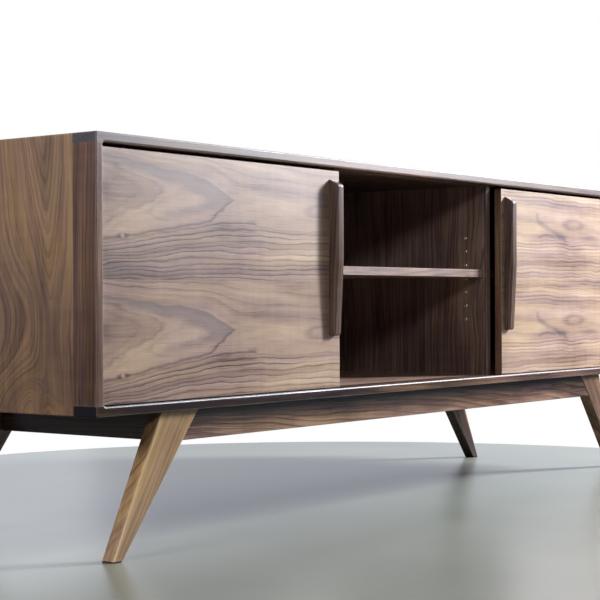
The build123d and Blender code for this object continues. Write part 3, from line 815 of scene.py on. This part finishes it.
floor_mesh.materials.append(concrete.material)

# Background: the camera sees plain white all round. Polished surfaces see a bluish white above and a grey
# like the floor's below, and only a little light comes from it.
horizon = (-0.02, 0.08)
world_light = 0.016
mirrored_floor = 0.12
day_tint = (0.84, 0.88, 1.0, 1.0)
world = bpy.data.worlds.new("white room")
bpy.context.scene.world = world
world.use_nodes = True
world_nodes = world.node_tree.nodes
link = world.node_tree.links.new
sky = world_nodes["Background"]
paths = world_nodes.new("ShaderNodeLightPath")
tinted = world_nodes.new("ShaderNodeMixRGB")
tinted.inputs["Color1"].default_value = day_tint
tinted.inputs["Color2"].default_value = (1.0, 1.0, 1.0, 1.0)
link(paths.outputs["Is Camera Ray"], tinted.inputs["Fac"])
link(tinted.outputs["Color"], sky.inputs["Color"])
direction = world_nodes.new("ShaderNodeTexCoord")
height = world_nodes.new("ShaderNodeSeparateXYZ")
link(direction.outputs["Generated"], height.inputs[0])
shiny = world_nodes.new("ShaderNodeMath")
shiny.operation = "MAXIMUM"
link(paths.outputs["Is Glossy Ray"], shiny.inputs[0])
link(paths.outputs["Is Transmission Ray"], shiny.inputs[1])
above = world_nodes.new("ShaderNodeMapRange")
above.interpolation_type = "SMOOTHSTEP"
above.inputs["From Min"].default_value, above.inputs["From Max"].default_value = horizon
above.inputs["To Min"].default_value = mirrored_floor
link(height.outputs["Z"], above.inputs["Value"])
reflected = world_nodes.new("ShaderNodeMath")
reflected.operation = "MULTIPLY"
link(shiny.outputs[0], reflected.inputs[0])
link(above.outputs["Result"], reflected.inputs[1])
level = world_nodes.new("ShaderNodeMath")
level.operation = "MAXIMUM"
link(reflected.outputs[0], level.inputs[0])
link(paths.outputs["Is Camera Ray"], level.inputs[1])
strength = world_nodes.new("ShaderNodeMath")
strength.operation = "MAXIMUM"
strength.inputs[1].default_value = world_light
link(level.outputs[0], strength.inputs[0])
link(strength.outputs[0], sky.inputs["Strength"])

# Lights: a window in front to the right, a bright ceiling on that side and a soft panel that gives the
# doors their sheen, a small window in front to the left, a glow from behind and a soft light from the left.


def add_light(name, place, target, size, power, colour):
    """A soft rectangle of light, from a place towards a target, in metres and watts."""
    lamp = bpy.data.lights.new(name, "AREA")
    lamp.shape = "RECTANGLE"
    lamp.size, lamp.size_y = size
    lamp.energy = power
    lamp.color = colour
    holder = bpy.data.objects.new(name, lamp)
    holder.location = place
    holder.rotation_euler = (Vector(target) - Vector(place)).to_track_quat("-Z", "Y").to_euler()
    bpy.context.scene.collection.objects.link(holder)


add_light("right window", (3.1, -2.12, 2.05), (-0.1, -0.2, 0.45), (0.6, 1.2), 375, (0.9, 0.94, 1.0))
add_light("right ceiling", (3.3, -0.6, 2.7), (0.0, -0.2, 0.4), (4.2, 1.6), 105, (0.86, 0.9, 1.0))
add_light("front panel", (2.75, -2.7, 1.15), (-0.4, -0.24, 0.6), (1.5, 0.6), 11, (0.84, 0.88, 1.0))
add_light("left window", (-4.3, -3.1, 2.1), (0.3, -0.1, 0.45), (0.6, 0.6), 45, (0.95, 0.97, 1.0))
add_light("back glow", (0.4, 3.4, 1.5), (0.0, 0.26, 0.5), (4.5, 2.2), 26, (0.92, 0.95, 1.0))
add_light("left fill", (-4.6, -0.3, 2.1), (-0.8, 0.0, 0.5), (1.4, 1.0), 100, (1.0, 0.98, 0.95))

# Camera: low and to the left of the front, at the height of the case, with a long lens. It looks almost
# level and leans by a quarter of a degree.
lens_length = 95.65
camera_place = (-2.9553, -2.1097, 0.4457)
camera_yaw = math.radians(53.08)
camera_pitch = math.radians(0.039)
camera_roll = -0.004456
camera_data = bpy.data.cameras.new("camera")
camera_data.lens = lens_length
camera_data.sensor_width = 36.0
camera = bpy.data.objects.new("camera", camera_data)
ahead = Vector(
    (
        math.sin(camera_yaw) * math.cos(camera_pitch),
        math.cos(camera_yaw) * math.cos(camera_pitch),
        math.sin(camera_pitch),
    )
)
level_right = Vector((math.cos(camera_yaw), -math.sin(camera_yaw), 0.0))
level_up = level_right.cross(ahead)
right = level_right * math.cos(camera_roll) + level_up * math.sin(camera_roll)
up = level_up * math.cos(camera_roll) - level_right * math.sin(camera_roll)
turn = Matrix((right, up, -ahead)).transposed().to_4x4()
camera.matrix_world = Matrix.Translation(camera_place) @ turn
bpy.context.scene.collection.objects.link(camera)
bpy.context.scene.camera = camera
bpy.context.scene.view_settings.view_transform = "Standard"
